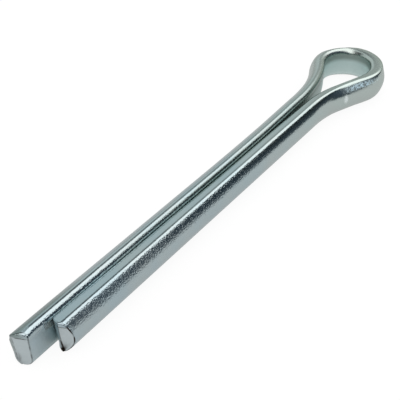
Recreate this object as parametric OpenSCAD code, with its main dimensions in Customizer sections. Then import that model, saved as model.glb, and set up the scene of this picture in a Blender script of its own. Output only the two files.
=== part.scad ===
// Cotter pin: one length of half-round wire, bent round into an eye and sheared off at both ends.
// Millimetres. X runs along the shank to the ends, Y across the two legs, Z through the eye.
// The origin is on the shank's axis, where the two legs become straight.

/* [Shank] */
// Diameter over the two legs lying together
shank_d = 5.6; // [4:0.1:7]
// Width of the slit between the legs' flat faces
leg_gap = 0.1; // [0.02:0.02:0.4]
// Radius of the edges between a leg's flat face and its round back
edge_r = 0.79; // [0.3:0.01:1.1]

/* [Eye] */
// Width inside the eye
eye_d = 7.6; // [6:0.1:9.6]
// Radius of the long side's bend from the shank to the eye, on the flat face
neck_r = 25.5; // [18:0.5:36]

/* [Ends] */
// Length of the short leg's straight part, on the shank's axis
short_leg = 56.7; // [30:0.1:90]
// How much further the long leg reaches
prong = 2.6; // [0:0.1:8]
// Angle of the sheared ends from square, in degrees
end_slant = 27; // [0:1:35]
// Radius of the edge that the shear rolled over, at each end
roll_r = 1.3; // [0.4:0.1:1.8]

/* [Hidden] */
$fn = 48;

shank_r = shank_d / 2;
half_gap = leg_gap / 2;
eye_r = eye_d / 2;

// centre of the rounded edge, in the wire's section
edge_c = [half_gap + edge_r, sqrt(pow(shank_r - edge_r, 2) - pow(half_gap + edge_r, 2))];

// the long side is two arcs that touch: the neck, and then the eye
neck_c = [0, -half_gap - neck_r];
eye_c = [-sqrt(pow(neck_r + eye_r, 2) - pow(half_gap + neck_r, 2)), 0];

// the short side is a tighter neck, a straight flank, and then the eye; the flank leans this much
flank_run = 0.936;
flank_rise = 0.352;
flank_side = [flank_rise, flank_run];
tight_r = (half_gap * flank_run - eye_r - eye_c[0] * flank_rise) / (1 - flank_run);
tight_c = [0, half_gap + tight_r];

// where the line from the tight neck's centre, square to the flank, crosses the shank's axis
flank_foot = [-tight_c[1] * flank_rise / flank_run, 0];
// a point outside the eye, on the line from its centre square to the flank
flank_top = eye_c + (eye_r + shank_d) * flank_side;

// how far outside the two faces it joins the rolled edge's arc reaches
roll_lap = 0.05;
// a length past every face, for the pieces that trim
past = 2 * shank_d;

// Moves by thousandths and then by what is left over, so that arcs meet to their last digit
module place(to) {
  near = [round(to[0] * 1000) / 1000, round(to[1] * 1000) / 1000];
  translate(near) translate(to - near) children();
}

// One corner of the section: a slice of the edge's circle, from the flat face round to the back
module edge_slice() {
  intersection() {
    place(edge_c) circle(edge_r);
    polygon([edge_c, 3 * edge_c, [0, 3 * edge_c[1]], [0, edge_c[1]]]);
  }
}

// The wire's section: flat face on the left at half the gap, round back on the right
module wire_section() {
  low_c = [edge_c[0], -edge_c[1]];
  intersection() {
    circle(shank_r);
    polygon([
      [half_gap, -edge_c[1]], [half_gap, edge_c[1]], edge_c, 3 * edge_c,
      [past, 3 * edge_c[1]], [past, -3 * edge_c[1]], 3 * low_c, low_c
    ]);
  }
  edge_slice();
  mirror([0, 1]) edge_slice();
}

// The wire bent round the Z axis, with its flat face at this radius, and its back inward or outward
module bent_out(r) {
  rotate_extrude() place([r - half_gap, 0]) wire_section();
}
module bent_in(r) {
  rotate_extrude() place([r + half_gap, 0]) mirror([1, 0]) wire_section();
}

// Keeps what lies over this outline
module trim(outline) {
  intersection() {
    children();
    linear_extrude(past, center = true) polygon(outline);
  }
}

module eye() {
  left = eye_c[0] - past;
  trim([eye_c, flank_top, [left, flank_top[1]], [left, neck_c[1]], neck_c])
    place(eye_c) bent_out(eye_r);
}

module long_neck() {
  trim([neck_c, eye_c, [0, 0]]) place(neck_c) bent_in(neck_r);
}

module short_neck() {
  trim([tight_c, flank_foot, [0, 0]]) place(tight_c) bent_in(tight_r);
}

// The straight wire, lying from X = 0 on the +Y side
module straight_wire(length) {
  rotate([90, 0, 90]) linear_extrude(length) wire_section();
}

// The flank lies square to the line from the eye's centre
module flank() {
  trim([flank_foot, tight_c, flank_top, eye_c])
    place(eye_c + (eye_r - half_gap) * flank_side)
    rotate([0, 0, -atan2(flank_rise, flank_run)]) translate([-past, 0, 0])
    straight_wire(3 * past);
}

// What the shear takes off an end: all past the slanted cut, and the corner it rolled over
module shear(roll_y) {
  cut = [-sin(end_slant), cos(end_slant)];
  square_to_cut = [cos(end_slant), sin(end_slant)];
  roll_c = [-(roll_y + roll_r) * tan(end_slant) - roll_r + roll_lap, roll_y + roll_r - roll_lap];
  linear_extrude(past, center = true) {
    polygon(past * [-cut, square_to_cut - cut, square_to_cut + cut, cut]);
    difference() {
      polygon([roll_c, [roll_c[0], -past], [past, -past], [past, roll_c[1]]]);
      translate(roll_c) circle(roll_r);
    }
  }
}

module short_leg() {
  difference() {
    straight_wire(short_leg + shank_d);
    translate([short_leg, 0, 0]) shear(half_gap);
  }
}

module long_leg() {
  difference() {
    mirror([0, 1, 0]) straight_wire(short_leg + prong + shank_d);
    translate([short_leg + prong, 0, 0]) shear(-shank_r);
  }
}

module cotter_pin() {
  color("silver") union() {
    eye();
    long_neck();
    flank();
    short_neck();
    long_leg();
    short_leg();
  }
}

cotter_pin();
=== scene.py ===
import math

import bmesh
import bpy
import numpy as np
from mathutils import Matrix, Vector


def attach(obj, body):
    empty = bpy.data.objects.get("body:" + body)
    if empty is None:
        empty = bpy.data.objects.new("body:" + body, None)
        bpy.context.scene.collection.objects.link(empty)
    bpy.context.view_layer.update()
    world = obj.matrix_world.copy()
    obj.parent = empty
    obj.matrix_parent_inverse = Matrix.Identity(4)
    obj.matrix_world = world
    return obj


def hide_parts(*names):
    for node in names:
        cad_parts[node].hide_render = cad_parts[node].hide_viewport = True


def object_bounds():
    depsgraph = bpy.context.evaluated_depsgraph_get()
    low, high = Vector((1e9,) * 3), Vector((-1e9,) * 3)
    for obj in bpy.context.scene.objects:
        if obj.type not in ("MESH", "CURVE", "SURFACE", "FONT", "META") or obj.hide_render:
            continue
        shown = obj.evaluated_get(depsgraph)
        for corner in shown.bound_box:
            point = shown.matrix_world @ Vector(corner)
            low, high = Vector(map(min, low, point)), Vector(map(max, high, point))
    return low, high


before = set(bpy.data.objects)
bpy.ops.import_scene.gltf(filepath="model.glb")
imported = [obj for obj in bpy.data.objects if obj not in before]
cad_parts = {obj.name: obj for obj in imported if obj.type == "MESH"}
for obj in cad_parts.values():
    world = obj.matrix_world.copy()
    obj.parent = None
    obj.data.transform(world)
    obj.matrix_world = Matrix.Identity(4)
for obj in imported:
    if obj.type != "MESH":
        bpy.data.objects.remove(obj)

cad_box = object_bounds()
MM = 0.001


def srgb(code):
    """A hex colour as linear red, green, blue and a full alpha."""
    parts = [int(code[k:k + 2], 16) / 255 for k in (1, 3, 5)]
    return [p / 12.92 if p <= 0.04045 else ((p + 0.055) / 1.055) ** 2.4 for p in parts] + [1]


def node(tree, kind, inputs=(), stops=(), **settings):
    """Adds a node. Each input is linked to another node's output, or set to a value; stops are a colour ramp's
    (place, hex colour) pairs."""
    made = tree.nodes.new(kind)
    for name, value in settings.items():
        setattr(made, name, value)
    for name, value in dict(inputs).items():
        if isinstance(value, bpy.types.NodeSocket):
            tree.links.new(value, made.inputs[name])
        else:
            made.inputs[name].default_value = value
    if stops:
        elements = made.color_ramp.elements
        while len(elements) < len(stops):
            elements.new(0.5)
        for element, (place, code) in zip(elements, stops):
            element.position = place
            element.color = srgb(code)
    return made


# ---------------------------------------------------------------- camera
AIM = Vector((27.191, -0.371, 0)) * MM
AZIMUTH, ELEVATION, DISTANCE = math.radians(36.383), math.radians(39.851), 104.48 * MM
LENS, SENSOR = 68.87, 36
BACK = Vector((math.cos(AZIMUTH) * math.cos(ELEVATION), math.sin(AZIMUTH) * math.cos(ELEVATION), math.sin(ELEVATION)))
camera_data = bpy.data.cameras.new("camera")
camera_data.lens = LENS
camera_data.sensor_width = SENSOR
camera_data.clip_start, camera_data.clip_end = 0.001, 10
camera = bpy.data.objects.new("camera", camera_data)
bpy.context.scene.collection.objects.link(camera)
camera.rotation_mode = "QUATERNION"
camera.location = AIM + BACK * DISTANCE
camera.rotation_quaternion = (-BACK).to_track_quat("-Z", "Y")
bpy.context.scene.camera = camera
bpy.context.scene.view_settings.view_transform = "Standard"

# ---------------------------------------------------------------- room
# one long edge of the softbox lies in the plane square to this, through the pin
SOFTBOX_EDGE = (-0.0645, 0.9954, 0.072)
SOFTBOX, SOFTBOX_POWER, ROOM_POWER = "#FDFBFA", 1.46, 0.64
# the walls on the long leg's side, low and high
WARM_WALL, WALL = "#C0BCB6", "#F6FFFF"
# beyond the softbox: darkness by the eye's end and by the shank's end, dusk below it, and then a low pale wall
NIGHT, NIGHT_NEAR, DUSK, LOW_WALL = "#1C262C", "#506070", "#46525C", "#E8F5F5"
# the gap between the softbox and the walls, from the eye's end on, and the wall past the eye
GAP_FAR, GAP, GAP_NEAR, END_WALL = "#D4DAD8", "#747C7E", "#687072", "#D0D6CE"


def hang_room():
    """What the metal reflects: a long softbox overhead, pale walls behind, and darkness beyond the softbox.
    The camera and the floor see plain white."""
    world = bpy.data.worlds.new("studio")
    bpy.context.scene.world = world
    world.use_nodes = True
    t = world.node_tree
    t.nodes.clear()
    # the way a reflection looks: its part along the shank, its turn round the shank from straight up towards the
    # short leg's side, and how far it is past the softbox's edge
    way = node(t, "ShaderNodeTexCoord").outputs["Generated"]
    split = node(t, "ShaderNodeSeparateXYZ", {"Vector": way})
    x = split.outputs["X"]
    turn = node(t, "ShaderNodeMath", {0: split.outputs["Y"], 1: split.outputs["Z"]}, operation="ARCTAN2").outputs[0]
    past = node(t, "ShaderNodeVectorMath", {0: way, 1: SOFTBOX_EDGE}, operation="DOT_PRODUCT").outputs["Value"]

    # each share goes smoothly from 0 at its first value to 1 at its second
    share = {}
    for name, value, start, end in (
            ("near", x, -0.72, -0.35),
            ("night", turn, math.radians(20), math.radians(51)),
            ("dusk", turn, math.radians(55), math.radians(85)),
            ("low wall", turn, math.radians(84), math.radians(101)),
            ("gap", past, -0.54, -0.44),
            ("past edge", past, -0.05, -0.01),
            ("end wall", x, -0.8, -0.93),
            ("softbox side", turn, math.radians(46), math.radians(42)),
            ("softbox end", x, -0.88, -0.72)):
        share[name] = node(t, "ShaderNodeMapRange", {"Value": value, "From Min": start, "From Max": end},
                           interpolation_type="SMOOTHSTEP").outputs["Result"]

    # warm low down, and pale from 70 degrees off straight up
    whole_turn = node(t, "ShaderNodeMapRange", {"Value": turn, "From Min": -math.pi, "From Max": math.pi}).outputs[0]
    walls = node(t, "ShaderNodeValToRGB", {"Fac": whole_turn}, [
        (0.0, WARM_WALL), ((-95 + 180) / 360, WARM_WALL), ((-70 + 180) / 360, WALL), (1.0, WALL)]).outputs["Color"]
    whole_length = node(t, "ShaderNodeMapRange", {"Value": x, "From Min": -1.0, "From Max": 1.0}).outputs[0]
    gap = node(t, "ShaderNodeValToRGB", {"Fac": whole_length}, [
        (0.13, GAP_FAR), (0.27, GAP), (0.3, GAP_NEAR), (0.36, GAP_NEAR), (0.46, WALL), (0.55, WALL),
        (0.67, NIGHT)]).outputs["Color"]

    night = node(t, "ShaderNodeMix", {0: share["near"], 6: srgb(NIGHT), 7: srgb(NIGHT_NEAR)},
                 data_type="RGBA").outputs[2]
    for name, colour in (("night", night), ("dusk", srgb(DUSK)), ("low wall", srgb(LOW_WALL))):
        walls = node(t, "ShaderNodeMix", {0: share[name], 6: walls, 7: colour}, data_type="RGBA").outputs[2]
    around = node(t, "ShaderNodeMix", {0: share["past edge"], 6: gap, 7: walls}, data_type="RGBA").outputs[2]
    around = node(t, "ShaderNodeMix", {0: share["gap"], 6: walls, 7: around}, data_type="RGBA").outputs[2]
    around = node(t, "ShaderNodeMix", {0: share["end wall"], 6: around, 7: srgb(END_WALL)},
                  data_type="RGBA").outputs[2]

    lit = share["past edge"]
    for name in ("softbox side", "softbox end"):
        lit = node(t, "ShaderNodeMath", {0: lit, 1: share[name]}, operation="MULTIPLY").outputs[0]
    room = node(t, "ShaderNodeBackground", {"Color": around, "Strength": ROOM_POWER}).outputs[0]
    softbox = node(t, "ShaderNodeBackground", {"Color": srgb(SOFTBOX), "Strength": SOFTBOX_POWER}).outputs[0]
    reflected = node(t, "ShaderNodeMixShader", {0: lit, 1: room, 2: softbox}).outputs[0]
    white = node(t, "ShaderNodeBackground", {"Color": srgb("#FFFFFF"), "Strength": 1.0}).outputs[0]
    path = node(t, "ShaderNodeLightPath")
    plain = node(t, "ShaderNodeMath", {0: path.outputs["Is Camera Ray"], 1: path.outputs["Is Diffuse Ray"]},
                 operation="MAXIMUM").outputs[0]
    seen = node(t, "ShaderNodeMixShader", {0: plain, 1: reflected, 2: white}).outputs[0]
    node(t, "ShaderNodeOutputWorld", {"Surface": seen})


hang_room()


# ---------------------------------------------------------------- floor
# the paper's shade, its glow, and how much more of that the camera sees
PAPER, PAPER_GLOW, GLOW_TO_CAMERA = "#606060", 0.5, 0.4


def lay_paper():
    """Matt white seamless paper: it comes out white, reflects as a pale grey, and keeps the pin's shadow."""
    bpy.ops.object.select_all(action="DESELECT")
    bpy.ops.mesh.primitive_plane_add(size=2, location=(0.02, 0, cad_box[0].z))
    floor = bpy.context.object
    floor.name = "floor"
    paper = bpy.data.materials.new("white_paper")
    paper.use_nodes = True
    t = paper.node_tree
    t.nodes.clear()
    to_camera = node(t, "ShaderNodeLightPath").outputs["Is Camera Ray"]
    level = node(t, "ShaderNodeMath", {0: to_camera, 1: GLOW_TO_CAMERA, 2: PAPER_GLOW},
                 operation="MULTIPLY_ADD").outputs[0]
    glow = node(t, "ShaderNodeEmission", {"Color": srgb("#FFFFFF"), "Strength": level}).outputs[0]
    shaded = node(t, "ShaderNodeBsdfDiffuse", {"Color": srgb(PAPER)}).outputs[0]
    both = node(t, "ShaderNodeAddShader", {0: shaded, 1: glow}).outputs[0]
    node(t, "ShaderNodeOutputMaterial", {"Surface": both})
    floor.data.materials.append(paper)
    return floor


lay_paper()

# ---------------------------------------------------------------- the pin's measures, in millimetres and degrees
SHANK_R = 2.8
HALF_GAP = 0.05
EDGE_R = 0.79
EYE_R = 3.8
NECK_R = 25.5
SHORT_TIP, LONG_TIP = 56.7, 59.3
# the flank's lean, as its sine and cosine, and the slant of the sheared ends, as its tangent
LEAN = (0.352, 0.936)
SLANT = math.tan(math.radians(27))

# centres and turns of the section's rounded edge, and of the route's arcs: the long side's neck, the eye, and the
# short side's tight neck, with its straight flank
EDGE_C = (HALF_GAP + EDGE_R, math.sqrt((SHANK_R - EDGE_R) ** 2 - (HALF_GAP + EDGE_R) ** 2))
EDGE_TURN = math.degrees(math.atan2(EDGE_C[1], -EDGE_C[0]))
NECK_C = Vector((0, -HALF_GAP - NECK_R, 0))
EYE_C = Vector((-math.sqrt((NECK_R + EYE_R) ** 2 - (HALF_GAP + NECK_R) ** 2), 0, 0))
TIGHT_R = (HALF_GAP * LEAN[1] - EYE_R - EYE_C.x * LEAN[0]) / (1 - LEAN[1])
TIGHT_C = Vector((0, HALF_GAP + TIGHT_R, 0))
FLANK_SIDE = Vector((LEAN[0], LEAN[1], 0))
FLANK_WAY = Vector((LEAN[1], -LEAN[0], 0))
NECK_TURN = math.degrees(math.atan2(-EYE_C.x, HALF_GAP + NECK_R))
FLANK_TURN = math.degrees(math.atan2(LEAN[0], LEAN[1]))
FLANK_START = EYE_C + EYE_R * FLANK_SIDE
FLANK_END = TIGHT_C - TIGHT_R * FLANK_SIDE

# the mesh's rings near each end, from its tip inwards, as (how many, over what length); they fill the end's room
END_ROOM = 4.5
LONG_END_RINGS = ((1, 0.15), (4, 0.75), (1, 3.6))
SHORT_END_RINGS = ((1, 0.15), (3, 0.75), (1, 3.6))

# the sheared faces: the radius of the rim round them, the height above which they turn back and how far they round
# over there, how much the rolled corner's line leans, and where they are cut across, as shares of the roll's width
# and as heights
RIM = 0.12
SLOPE_Z, TOP_ROUND = 1.75, 0.45
ROLL_LEAN = -0.07
ROLL_CUTS = (0.15, 0.27, 0.4, 0.54, 0.68, 0.8, 0.9, 1.0, 1.08)
HEIGHT_CUTS = (-2.4, -2.1, -1.8, -1.5, -1.2, -0.9, -0.5, 0, 0.5, 1, 1.4, 1.65, SLOPE_Z, 1.85, 2, 2.15, 2.3, 2.45)
# how dark the lines on them are: along the roll, along SLOPE_Z and round the rim's top, and the painted shadow in a
# # tear 1 mm deep
ROLL_DARK, SLOPE_DARK, RIM_TOP_DARK, TEAR_SHADOW = 0.7, 0.9, 0.3, 15

# where along the shank the legs press together: the middle and half-length of the stretch, and how far they give
LEGS_TOUCH, GIVE = (20, 11), 0.075
# places in the straight wire, with sizes: the frosted patch, along it and up, and the nick, along, across and up
FROST_AT, FROST_SIZE = (30.8, 1.64), (3.1, 0.4)
NICK_AT, NICK_SIZE = (34.0, 4.6, 0.4), (0.7, 3.0, 1.3)

# the section's outline as arcs of (centre, radius, first and last angle from straight up), and its core
CORE = 1.2
ROUND_EDGE = [(EDGE_C, EDGE_R, -90, 24.7), ((0, 0), SHANK_R, 24.7, 90)]
FLAT_SIDE = [((1.371, 1.651), 0.68, -12, 43.5), ((-0.433, -0.25), 3.3, 43.5, 60), ((0, 0), SHANK_R, 60, 90)]
FLAT_EDGE = [((0.85, 1.417), 0.8, -90, -12)] + FLAT_SIDE
CRISP_EDGE = [((0.25, 1.903), 0.2, -90, -12)] + FLAT_SIDE


# ---------------------------------------------------------------- drawing and bending the wire
def editing():
    return bmesh.from_edit_mesh(bpy.context.object.data)


def choose(verts):
    """Selects just these vertices of the mesh being edited, and what lies between them."""
    mesh = editing()
    for part in (mesh.verts, mesh.edges, mesh.faces):
        for p in part:
            p.select_set(False)
    for v in verts:
        v.select_set(True)
    mesh.select_flush_mode()
    bmesh.update_edit_mesh(bpy.context.object.data)


def draw_out(steps, *move):
    """Carries the selection along a straight line in equal steps."""
    bpy.ops.mesh.extrude_repeat(steps=steps, offset=Vector(move) * MM / steps)


def bend(steps, degrees, centre, axis=(0, 0, 1)):
    """Carries the selection round a centre; anticlockwise is positive."""
    bpy.ops.mesh.spin(steps=steps, angle=-math.radians(degrees), center=Vector(centre) * MM, axis=axis)


def bend_wire():
    """Half-round wire, drawn from the long leg's end, round the eye, to the short leg's end."""
    bpy.ops.object.select_all(action="DESELECT")
    bpy.ops.mesh.primitive_plane_add(size=2 * EDGE_C[1] * MM, location=(LONG_TIP * MM, 0, 0))
    bpy.context.object.name = "bent_wire"
    bpy.ops.object.transform_apply(location=True)
    bpy.ops.object.mode_set(mode="EDIT")
    bpy.ops.mesh.select_mode(type="VERT")
    choose(list(editing().verts)[1:])
    bpy.ops.mesh.delete(type="VERT")
    start = list(editing().verts)[0]
    start.co = Vector((LONG_TIP, -HALF_GAP, -EDGE_C[1])) * MM
    choose([start])
    # the section: flat face, rounded edge, round back, rounded edge
    draw_out(10, 0, 0, 2 * EDGE_C[1])
    bend(18, EDGE_TURN, (0, -EDGE_C[0], EDGE_C[1]), (1, 0, 0))
    bend(60, 360 - 2 * EDGE_TURN, (0, 0, 0), (1, 0, 0))
    bend(18, EDGE_TURN, (0, -EDGE_C[0], -EDGE_C[1]), (1, 0, 0))
    bpy.ops.mesh.select_all(action="SELECT")
    bpy.ops.mesh.remove_doubles(threshold=1e-6)
    # the long leg, its neck, the eye, the flank, the tight neck and the short leg
    for steps, length in LONG_END_RINGS:
        draw_out(steps, -length, 0, 0)
    draw_out(50, END_ROOM - LONG_TIP, 0, 0)
    bend(36, NECK_TURN, NECK_C)
    bend(96, -(180 + NECK_TURN + FLANK_TURN), EYE_C)
    draw_out(14, *(FLANK_END - FLANK_START))
    bend(24, FLANK_TURN, TIGHT_C)
    draw_out(50, SHORT_TIP - END_ROOM, 0, 0)
    for steps, length in reversed(SHORT_END_RINGS):
        draw_out(steps, length, 0, 0)
    bpy.ops.mesh.select_all(action="SELECT")
    bpy.ops.mesh.normals_make_consistent(inside=False)
    bpy.ops.object.mode_set(mode="OBJECT")
    wire = bpy.context.object
    for name in ("cut_line_and_tear_shadow", "sheared"):
        wire.data.attributes.new(name, "FLOAT", "POINT")
    return wire


# ---------------------------------------------------------------- shaping it by place
def eased(x, *points):
    """A smooth line through (place, value) points, level at each of them."""
    places, values = np.array(points, dtype=float).T
    k = np.clip(np.searchsorted(places, x) - 1, 0, len(places) - 2)
    share = np.clip((x - places[k]) / (places[k + 1] - places[k]), 0, 1)
    return values[k] + share * share * (3 - 2 * share) * (values[k + 1] - values[k])


def hump(x, middle, width, power=2):
    """1 at the middle, falling away on both sides; a higher power makes it flatter on top."""
    return np.exp(-np.abs((x - middle) / width) ** power)


def read_points(wire):
    flat = np.empty(len(wire.data.vertices) * 3)
    wire.data.vertices.foreach_get("co", flat)
    return flat.reshape(-1, 3) / MM


def write_points(wire, points):
    wire.data.vertices.foreach_set("co", (points * MM).ravel())
    wire.data.update()


def follow_wire(points):
    """For each point: its place along the wire, which is 0 where the long leg meets its neck and less than 0 down
    that leg; its distance across the section, counted from HALF_GAP off the flat face; its bearing round the eye;
    and the way in which the back faces there."""
    neck_length = NECK_R * math.radians(NECK_TURN)
    eye_length = EYE_R * math.radians(180 + NECK_TURN + FLANK_TURN)
    flank_length = (FLANK_END - FLANK_START).length
    tight_length = TIGHT_R * math.radians(FLANK_TURN)
    rows = []
    for p in points:
        p = Vector((p[0], p[1], 0))
        from_eye = p - EYE_C
        bearing = math.degrees(math.atan2(from_eye.y, from_eye.x)) % 360
        if p.x >= 0:
            along = p.x + neck_length + eye_length + flank_length + tight_length if p.y > 0 else -p.x
            across = abs(p.y)
            back = 0, math.copysign(1, p.y)
        elif 90 - FLANK_TURN < bearing < 270 + NECK_TURN:
            along = neck_length + EYE_R * math.radians(270 + NECK_TURN - bearing)
            across = from_eye.length - EYE_R + HALF_GAP
            back = from_eye.normalized()[:2]
        elif p.y < 0:
            to_neck = NECK_C - p
            along = NECK_R * math.atan2(to_neck.x, -to_neck.y)
            across = NECK_R - to_neck.length + HALF_GAP
            back = to_neck.normalized()[:2]
        elif (p - TIGHT_C).cross(FLANK_SIDE).z > 0:
            to_tight = TIGHT_C - p
            turned = math.radians(FLANK_TURN) - math.atan2(to_tight.x, to_tight.y)
            along = neck_length + eye_length + flank_length + TIGHT_R * turned
            across = TIGHT_R - to_tight.length + HALF_GAP
            back = to_tight.normalized()[:2]
        else:
            along = neck_length + eye_length + (p - FLANK_START).dot(FLANK_WAY)
            across = from_eye.dot(FLANK_SIDE) - EYE_R + HALF_GAP
            back = FLANK_SIDE[:2]
        rows.append((along, across, bearing, *back))
    along, across, bearing, back_x, back_y = np.array(rows).T
    return along, across, bearing, np.stack([back_x, back_y, 0 * back_x], axis=1)


def profile(arcs):
    """The section's outline, as directions from its core and how far out it lies in each."""
    corners = [(HALF_GAP, 0)]
    for (across, up), radius, first, last in arcs:
        for a in np.radians(np.linspace(first, last, 40)):
            corners.append((across + radius * math.sin(a), up + radius * math.cos(a)))
    y, z = np.concatenate([np.linspace(a, b, 12) for a, b in zip(corners, corners[1:])]).T
    direction = np.arctan2(z, y - CORE)
    order = np.argsort(direction)
    return direction[order], np.hypot(z, y - CORE)[order]


def flatten_edges(wire):
    """Rolls the short leg's edges flatter than the long leg's, changing over round the crown of the eye."""
    points = read_points(wire)
    x, y, z = points.T
    along, across, bearing, back = follow_wire(points)
    short_side = eased(along, (18, 0), (32, 1))
    # the eye's underside is rolled flatter as well, round to the long side's neck
    under = ((z < 0) * eased(-x, (0, 0), (6, 1))
             * eased(bearing, (180, 0.5), (220, 0.3), (255, 0.6), (270, 0.65)))
    direction = np.arctan2(np.abs(z), across - CORE)
    round_reach, flat_reach, crisp_reach = [
        np.interp(direction, *profile(edge)) for edge in (ROUND_EDGE, FLAT_EDGE, CRISP_EDGE)]
    # the short leg's edge grows crisper towards its end
    crisp = short_side * eased(x, (0, 0), (10, 0.45), (44, 0.6), (52, 1))
    pull = np.maximum(short_side, under) * ((flat_reach + crisp * (crisp_reach - flat_reach)) / round_reach - 1)
    points += back * ((across - CORE) * pull)[:, None]
    z += z * pull
    # the short leg's upper edge leans on the long leg
    lean_in = (0.085 - GIVE * hump(x, *LEGS_TOUCH)) * eased(x, (6, 0), (16, 1)) * short_side
    y -= lean_in * eased(z, (0.4, 0), (1.6, 1)) * eased(across, (0.6, 1), (1.6, 0))
    write_points(wire, points)


def stretch_eye(wire):
    """Bending draws the eye's back thinner and squares its upper corner at the crown."""
    points = read_points(wire)
    x, y, z = points.T
    across, bearing, back = follow_wire(points)[1:]
    # the turn round the section: 0 at the middle of the back, 90 at the flat face's edge
    turn = np.degrees(np.arctan2(np.abs(z), across))
    thin = eased(bearing, (8, 0), (17, 0.2), (60, 0.25), (100, 0.3), (200, 0.3), (290, 0.25), (342, 0.2), (353, 0))
    back_width = eased(bearing, (30, 62), (70, 38))
    move = -thin * hump(turn, 0, back_width, 4) * eased(across, (0.5, 0), (1.2, 1))
    # the upper corner stands out round the crown and falls in before and after it, and the inner edge draws in
    corner = eased(bearing, (14, 0), (26, -0.15), (48, -0.15), (62, 0), (110, 0.3), (140, 0.38), (172, 0.38),
                   (186, 0.28), (205, 0.02), (218, -0.2), (245, -0.2), (262, 0))
    inner = eased(bearing, (50, 0), (90, 0.2), (120, 0.2), (150, 0))
    move += (z > 0) * (corner * hump(turn, 60, 15) - inner * hump(turn, 88, 18) * eased(z, (0, 0), (1.5, 1)))
    # the shear raised a low burr on the short leg's end
    burr = (z > 0) * 0.1 * hump(x, SHORT_TIP - 0.1, 0.4) * hump(turn, 44, 9) * (y > 0)
    move = np.where(x < 0, move, burr)
    points += back * move[:, None]
    # a small dent in the top of the crown
    z -= 0.16 * hump(bearing, 208, 16) * (x < 0) * eased(z, (0.6, 0), (1.8, 1)) * eased(across, (0.05, 1), (0.9, 0))
    write_points(wire, points)


def cap_end(tip, roll_from, roll_width):
    """Closes an end with a rounded rim and a flat face, and cuts the face across where the shear will shape it."""
    bpy.ops.object.mode_set(mode="EDIT")
    bpy.ops.mesh.select_mode(type="VERT")
    choose([v for v in editing().verts if abs(v.co.x / MM - tip) < 1e-4])
    bpy.ops.mesh.edge_face_add()
    inwards, outwards = 0, 0
    for a in np.radians([25, 50, 70, 90]):
        bpy.ops.mesh.inset(thickness=(RIM * (1 - math.cos(a)) - inwards) * MM,
                           depth=(RIM * math.sin(a) - outwards) * MM)
        inwards, outwards = RIM * (1 - math.cos(a)), RIM * math.sin(a)
    bpy.ops.mesh.inset(thickness=0.1 * MM, depth=0)
    bpy.ops.mesh.hide(unselected=True)
    cuts = [((0, roll_from + roll_width * k, 0), (0, 1, -ROLL_LEAN)) for k in ROLL_CUTS]
    cuts += [((0, 0, z), (0, 0, 1)) for z in HEIGHT_CUTS]
    for place, square_to_cut in cuts:
        bpy.ops.mesh.select_all(action="SELECT")
        bpy.ops.mesh.bisect(plane_co=Vector(place) * MM, plane_no=square_to_cut, threshold=1e-7)
    bpy.ops.mesh.reveal(select=False)


def trim_end(wire, tip, roll_from, roll_width, roll_depth, roll_slant, roll_deepens, corner_back, torn_back,
             slope_top, slope_back, slope_stop, pressed, roll_line, rim_dark):
    """Closes an end and shears it on the slant, with one side of its face rolled over.

    The roll reaches roll_width in from the wire's side at roll_from. It goes roll_depth back, and more below by
    roll_deepens of that to the millimetre; it keeps roll_slant of the slant, and its upper corner is corner_back
    further in. The lower part of its line on the face is torn, torn_back deep. Above SLOPE_Z the face rounds over
    and slopes back as well, by slope_back at the height slope_top, and this fades out from slope_stop into the
    roll; the wire's top is pressed down by the share pressed. Dark lines are left along the roll, at roll_line of
    the way into it, along SLOPE_Z, and round the rim, as dark there as rim_dark."""
    cap_end(tip, roll_from, roll_width)
    mesh = editing()
    cut_line_and_tear_shadow, sheared = mesh.verts.layers.float["cut_line_and_tear_shadow"], mesh.verts.layers.float["sheared"]
    for v in mesh.verts:
        if v.co.x <= (tip - 1) * MM or (v.co.y > 0) != (tip == SHORT_TIP):
            continue
        y, z = v.co.y / MM, v.co.z / MM
        up_rim = (v.co.x / MM - tip) / RIM
        on_face = up_rim > 0.9
        # how far into the roll: 0 at its edge on the face, 1 at the wire's side
        into = 1 - (y - ROLL_LEAN * z - roll_from) / roll_width
        cut = -SLANT * y
        if into > 0:
            rolled = min(into, 1)
            cut = -SLANT * (roll_from + roll_width) + roll_slant * SLANT * roll_width * rolled
            cut -= roll_depth * (1 - math.sqrt(1 - rolled * rolled)) * (1 - roll_deepens * z)
            cut -= corner_back * float(eased(into, (0.4, 0), (0.9, 1)) * eased(z, (0.3, 0), (1.4, 1)))
        tear = float(eased(-z, (0.2, 0), (1.2, 0.6), (2.1, 1)) * hump(into, 0.1, 0.08 - 0.04 * z)) * on_face
        cut += 0.1 * float(eased(-z, (1.4, 0), (2.2, 1))) - torn_back * tear
        top = min(1, max(0, (z - SLOPE_Z) / (slope_top - SLOPE_Z)))
        slope_share = float(eased(into, (slope_stop, 1), (slope_stop + 0.5, 0)))
        cut -= (TOP_ROUND * (1 - math.sqrt(1 - top * top)) + slope_back * top) * slope_share
        # how near the tip, over the last millimetre
        near = 1 - min(1, max(0, tip - v.co.x / MM))
        v.co.z -= max(0, z - SLOPE_Z) * pressed * near * float(eased(into, (0.6, 1), (1, 0))) * MM
        # the cap stands one rim past the tip, and the face ends one rim inside it
        v.co.x += (cut - 2 * RIM) * MM
        # the dark lines round the face, and the painted shadow in the tear
        v[cut_line_and_tear_shadow] = max(
            float(0.3 < up_rim < 0.99) * (RIM_TOP_DARK if z > 1.9 else rim_dark),
            ROLL_DARK * float(hump(into, roll_line, 0.04)) * on_face,
            SLOPE_DARK * float(hump(z, SLOPE_Z, 0.05)) * on_face * slope_share,
            TEAR_SHADOW * torn_back * tear)
        before_roll = eased(into, (roll_line, 1), (roll_line + 0.15, 0))
        v[sheared] = float(on_face) * float(before_roll * eased(z, (1.7, 1), (1.8, 0)))
    bmesh.update_edit_mesh(wire.data)
    bpy.ops.object.mode_set(mode="OBJECT")


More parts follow.
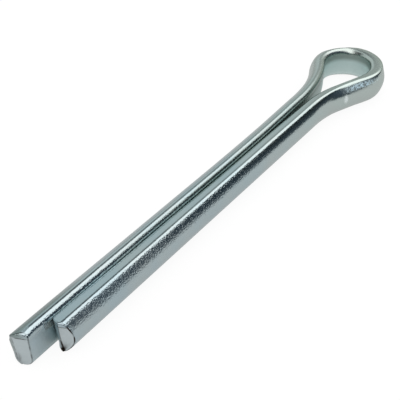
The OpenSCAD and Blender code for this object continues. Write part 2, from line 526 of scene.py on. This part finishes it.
def mark_wire(wire):
    """Keeps, for the metal's patterns, where each point lies in the straight wire, in millimetres, and how strongly
    each kind of finish and wear, painted light and painted shade shows there."""
    points = read_points(wire)
    along, across = follow_wire(points)[:2]
    z = points[:, 2]
    on_flat = eased(across, (0.1, 1), (0.3, 0))

    # the grain is coarser towards the ends, finer by the edges and below, and all but gone round the crown
    grain = eased(along, (-57, 0.8), (-42, 0.7), (-15, 0.5), (5, 0.25), (45, 0.35), (65, 0.65), (85, 0.9))
    long_side = eased(across, (0.35, 1), (0.55, 0.25), (0.85, 0.25), (1.1, 0.65))
    short_side = eased(across, (1.55, 0.25), (1.8, 1)) * eased(z, (0.4, 0.4), (1.2, 1))
    above = np.where(along < 15, long_side, short_side)
    grain = grain * np.where(z > 0, above, 0.4) * eased(along, (8, 1), (14, 0.06), (26, 0.06), (30, 1))

    # the frosted patch on the flank
    scuffed = hump(along, FROST_AT[0], FROST_SIZE[0], 4) * hump(z, FROST_AT[1], FROST_SIZE[1], 4)

    # painted shade, darker: the valley between the legs, where they shade each other, the long leg's flat face by the
    # # short leg's end and by its neck, where the other leg shades it, and the eye's upper inner edge, painted with
    # the
    # # dark it reflects; also darker, the long leg's back by its end
    valley = eased(across, (0.28, 1), (0.55, 0)) * eased(z, (1, 0), (1.5, 1)) * eased(
        along, (-50, 0.1), (-35, 0.5), (-25, 0.8), (-8, 0.6), (0, 0.4), (9, 0.3), (14, 0))
    end_flat = eased(z, (1.2, 1), (1.6, 0)) * eased(along, (-58.7, 0), (-56.7, 0.65), (-56, 0.65), (-50, 0))
    neck_flat = eased(along, (-6, 0), (0, 0.3), (6, 0.3), (13, 0))
    eye_edge = 0.6 * eased(across, (0.06, 1), (0.2, 0)) * eased(z, (0.4, 0), (1.1, 1)) * eased(
        along, (12, 0), (15, 1), (27, 1), (30, 0))
    end_back = 0.6 * eased(along, (-55, 1), (-48, 0)) * eased(across, (0.85, 0), (1.1, 1)) * eased(
        z, (-2, 0.5), (1, 1))
    painted_shade = np.minimum(valley + on_flat * (end_flat + neck_flat) + eye_edge + end_back, 1)

    # painted light: the flat face inside the eye is made paler, as though lit by light thrown up from the floor
    inside = on_flat * eased(z, (0.6, 1), (1.8, 0)) * eased(along, (2, 0), (12, 1), (30, 1), (40, 0))

    # duller: the flat face, the eye where it was bent, the long leg's upper edge, and the short leg's back by its end
    matte = on_flat * eased(np.abs(z), (1.4, 1), (1.9, 0))
    matte = matte + eased(along, (-8, 0), (6, 0.15), (14, 0.45), (25, 0.45), (30, 0.1), (44, 0))
    matte = matte + 0.4 * eased(across, (0.5, 1), (0.75, 0)) * eased(z, (1.2, 0), (1.8, 1)) * eased(
        along, (-50, 0), (-40, 1), (-2, 1), (6, 0))
    matte = matte + 0.3 * eased(along, (70, 0), (93, 1)) * eased(across, (1.3, 0), (1.8, 1))

    unbent = wire.data.attributes.new("unbent", "FLOAT_VECTOR", "POINT")
    unbent.data.foreach_set("vector", np.stack([along, across, z], axis=1).ravel())
    for name, values in (("grain", grain), ("scuffed", scuffed), ("painted_shade", painted_shade), ("inside", inside),
                         ("matte", matte)):
        wire.data.attributes.new(name, "FLOAT", "POINT").data.foreach_set("value", values)


def bow_long_leg(wire):
    """The long leg isn't quite straight: it leans on the short leg a third of the way down, and stands off by its
    neck and at its end."""
    points = read_points(wire)
    x, y = points.T[:2]
    along, across = follow_wire(points)[:2]
    away = 0.3 * hump(x, -2, 8.5) - GIVE * hump(x, *LEGS_TOUCH) + eased(x, (34, 0), (58, 0.12)) * across / SHANK_R
    y -= away * eased(along, (20, 1), (30, 0))
    write_points(wire, points)


# ---------------------------------------------------------------- metal
# the plate's tint: by the ends, on the legs, by the necks and on the eye, and the neutral grey it clouds over to
END_ZINC, LEG_ZINC, NECK_ZINC, EYE_ZINC, GREY_ZINC = "#BDCFD6", "#BFD1D5", "#C9D8D5", "#CFDAD4", "#CBD3D1"
# painted light inside the eye; painted shade in the valley and the other shaded places; the sheared steel and its
# # dark lines, which also paint the shadow in its tear; the nick and the frosted patch
INSIDE_LIGHT_TINT, SHADE_TINT, SHEARED_STEEL, DARK_LINE = "#DDF0EE", "#7C8C84", "#D5E0E3", "#332C27"
NICK, FROST = "#DCE6E6", "#BBD8E6"
# what is left of a reflection at a glancing angle
GLANCE = "#F6F6F6"
# roughness: of the bright plate, between its grains and on them, and what a dull place adds to it
BRIGHT_ROUGH, DULL_ROUGH = (0.13, 0.19), 0.26
# how many of each pattern's marks there are to a millimetre, or along, across and up the wire where they differ
GRAINS, DIE_LINES = (3.0, 3.6, 3.6), (0.05, 6.0, 6.0)
FINE_GRAINS, RIPPLES, CLOUDS, LINE_BREAKS, FROST_SPOTS = 5.2, 0.6, 0.22, 1.3, 4.4


def plate_with_zinc():
    """Steel wire plated with bright zinc: pale grey with a blue cast, mirror-like along its drawn back, duller on its
    flat face and where it was bent, with fine plating grain that is coarser towards the ends."""
    zinc = bpy.data.materials.new("bright_zinc_plate")
    zinc.use_nodes = True
    t = zinc.node_tree
    t.nodes.clear()
    unbent = node(t, "ShaderNodeAttribute", attribute_name="unbent").outputs["Vector"]
    grain_share, matte, cut_line_and_tear_shadow, sheared, scuffed, painted_shade, inside = [
        node(t, "ShaderNodeAttribute", attribute_name=name).outputs["Fac"]
        for name in ("grain", "matte", "cut_line_and_tear_shadow", "sheared", "scuffed", "painted_shade", "inside")]

    # plating grain 0.3 mm across with finer grain of 0.2 mm over it, both drawn coarser than real grain so that they
    # show; lines 0.17 mm apart, left by the die; and a ripple 1.7 mm long, left by straightening
    stretched = node(t, "ShaderNodeMapping", {"Vector": unbent, "Scale": GRAINS}).outputs[0]
    grain = node(t, "ShaderNodeTexNoise", {"Vector": stretched, "Scale": 1.0, "Detail": 3.0,
                                           "Roughness": 0.6}).outputs["Fac"]
    drawn = node(t, "ShaderNodeMapping", {"Vector": unbent, "Scale": DIE_LINES}).outputs[0]
    lines = node(t, "ShaderNodeTexNoise", {"Vector": drawn, "Scale": 1.0, "Detail": 2.0}).outputs["Fac"]
    ripple = node(t, "ShaderNodeTexNoise", {"Vector": unbent, "Scale": RIPPLES, "Detail": 0.0}).outputs["Fac"]
    fine = node(t, "ShaderNodeTexNoise", {"Vector": unbent, "Scale": FINE_GRAINS, "Detail": 1.0}).outputs["Fac"]
    fine_share = node(t, "ShaderNodeMapRange", {"Value": grain_share, "From Min": 0.3, "From Max": 0.9}).outputs[0]
    under = {}
    for height, share, depth in ((ripple, 1.0, 0.01), (lines, 1.0, 0.004), (grain, grain_share, 0.04),
                                 (fine, fine_share, 0.055)):
        relief = node(t, "ShaderNodeBump", {"Height": height, "Strength": share, "Distance": depth * MM} | under)
        under = {"Normal": relief.outputs[0]}

    # the tint goes from bluish at the ends to greenish on the eye, and clouds over in patches some 5 mm across
    place = node(t, "ShaderNodeSeparateXYZ", {"Vector": unbent}).outputs["X"]
    place = node(t, "ShaderNodeMapRange", {"Value": place, "From Min": -60.0, "From Max": 100.0}).outputs[0]
    tint = node(t, "ShaderNodeValToRGB", {"Fac": place}, [
        (0.0, END_ZINC), (0.25, LEG_ZINC), (0.4, NECK_ZINC), (0.5, EYE_ZINC), (0.6, NECK_ZINC), (0.75, LEG_ZINC),
        (1.0, END_ZINC)]).outputs["Color"]
    cloud = node(t, "ShaderNodeTexNoise", {"Vector": unbent, "Scale": CLOUDS, "Detail": 2.0}).outputs["Fac"]
    cloud = node(t, "ShaderNodeMapRange", {"Value": cloud, "From Min": 0.35, "From Max": 0.65,
                                           "To Max": 0.5}).outputs[0]

    # the dark lines round the cut faces, and the painted shadow in the tear, come and go over 0.8 mm or so
    breaks = node(t, "ShaderNodeTexNoise", {"Vector": unbent, "Scale": LINE_BREAKS, "Detail": 2.0}).outputs["Fac"]
    breaks = node(t, "ShaderNodeMapRange", {"Value": breaks, "From Min": 0.35, "From Max": 0.55,
                                            "To Min": 0.35}).outputs[0]
    dark_line_and_shadow = node(t, "ShaderNodeMath", {0: breaks, 1: cut_line_and_tear_shadow}, operation="MULTIPLY", use_clamp=True).outputs[0]

    # a bright nick that a tool left on the side of the eye
    around_nick = node(t, "ShaderNodeMapping", {"Vector": unbent, "Location": NICK_AT, "Scale": NICK_SIZE},
                       vector_type="TEXTURE").outputs[0]
    nick = node(t, "ShaderNodeTexGradient", {"Vector": around_nick}, gradient_type="SPHERICAL").outputs["Fac"]
    nick = node(t, "ShaderNodeMapRange", {"Value": nick, "From Max": 0.35}).outputs[0]

    # a frosted patch where the back was hammered, mottled in spots 0.2 mm across
    spots = node(t, "ShaderNodeTexNoise", {"Vector": unbent, "Scale": FROST_SPOTS, "Detail": 2.0}).outputs["Fac"]
    spots = node(t, "ShaderNodeMapRange", {"Value": spots, "From Min": 0.38, "From Max": 0.6, "To Min": 0.1,
                                           "To Max": 1.0}).outputs[0]
    frost = node(t, "ShaderNodeMath", {0: spots, 1: scuffed}, operation="MULTIPLY").outputs[0]

    # the painted light inside the eye and the painted shade are mixed into the tint with the plate's own colours
    for share, code in ((cloud, GREY_ZINC), (inside, INSIDE_LIGHT_TINT), (painted_shade, SHADE_TINT), (sheared, SHEARED_STEEL),
                        (dark_line_and_shadow, DARK_LINE), (nick, NICK), (frost, FROST)):
        tint = node(t, "ShaderNodeMix", {0: share, 6: tint, 7: srgb(code)}, data_type="RGBA").outputs[2]

    # frost and nick scatter the light as a pale matt surface does, and all the rest mirrors it
    plate = 1.0
    for share in (frost, nick):
        plate = node(t, "ShaderNodeMath", {0: plate, 1: share}, operation="SUBTRACT", use_clamp=True).outputs[0]
    rough = node(t, "ShaderNodeMapRange", {"Value": grain, "From Min": 0.3, "From Max": 0.7,
                                           "To Min": BRIGHT_ROUGH[0], "To Max": BRIGHT_ROUGH[1]}).outputs[0]
    duller = node(t, "ShaderNodeMath", {0: sheared, 1: matte}, operation="MAXIMUM").outputs[0]
    rough = node(t, "ShaderNodeMath", {0: duller, 1: DULL_ROUGH, 2: rough}, operation="MULTIPLY_ADD").outputs[0]

    metal = node(t, "ShaderNodeBsdfPrincipled", {"Base Color": tint, "Metallic": plate, "Roughness": rough,
                                                 "Normal": relief.outputs[0], "Specular Tint": srgb(GLANCE)})
    node(t, "ShaderNodeOutputMaterial", {"Surface": metal.outputs[0]})
    return zinc


# ---------------------------------------------------------------- the pin
pin = bend_wire()
flatten_edges(pin)
stretch_eye(pin)
trim_end(pin, LONG_TIP, roll_from=-2.8, roll_width=1.53, roll_depth=1.3, roll_slant=0.8, roll_deepens=0.15,
         corner_back=0.35, torn_back=0.04, slope_top=2.75, slope_back=0.2, slope_stop=0.3, pressed=0.16,
         roll_line=0.32, rim_dark=0.6)
trim_end(pin, SHORT_TIP, roll_from=0.05, roll_width=1.25, roll_depth=1.0, roll_slant=0, roll_deepens=0.1,
         corner_back=0, torn_back=0.3, slope_top=2.4, slope_back=0, slope_stop=2, pressed=0,
         roll_line=0, rim_dark=1)
mark_wire(pin)
bow_long_leg(pin)
bpy.ops.object.mode_set(mode="EDIT")
bpy.ops.mesh.select_all(action="SELECT")
bpy.ops.mesh.normals_make_consistent(inside=False)
bpy.ops.object.mode_set(mode="OBJECT")
bpy.ops.object.shade_smooth_by_angle(angle=math.radians(25))
pin.data.materials.append(plate_with_zinc())
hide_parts("cotter_pin")
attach(pin, "root")
